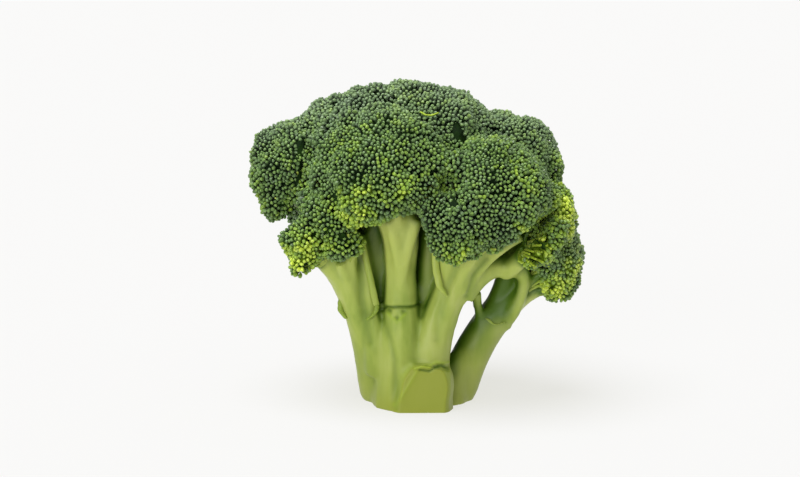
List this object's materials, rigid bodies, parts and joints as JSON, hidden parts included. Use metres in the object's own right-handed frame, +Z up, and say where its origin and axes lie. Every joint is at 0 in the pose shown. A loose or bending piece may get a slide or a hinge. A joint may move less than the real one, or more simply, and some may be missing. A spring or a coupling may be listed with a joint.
{
  "type": "broccoli head",
  "caption": "Whole broccoli head that stands on its flat-cut stalk: pale green branches fan out and carry a domed canopy of dark green florets with tight bud clusters.",
  "frame": {"origin": "on the flat cut of the stalk, under the middle of its foot", "axes": "+Z up along the stalk towards the florets, -Y towards the front, +X towards the side with the splayed branch"},
  "size_m": [0.1426, 0.1107, 0.1366],
  "materials": {
    "stalk": "waxy satin skin, pale yellow-green",
    "buds": "matt with a thin waxy bloom, dark green to yellow-green"
  },
  "bodies": {
    "root": {"stalk": "stalk", "crown_top": "buds", "crown_top_left": "buds", "crown_front": "buds", "crown_right": "buds", "crown_mid_front": "buds", "crown_left": "buds", "crown_lower_left": "buds", "crown_left_rim": "buds", "crown_back_right": "buds", "crown_mid_right": "buds", "crown_low_right": "buds", "crown_right_rim": "buds", "crown_back": "buds", "crown_back_left": "buds", "crown_low_back_left": "buds", "crown_low_back_right": "buds"}
  },
  "joints": []
}
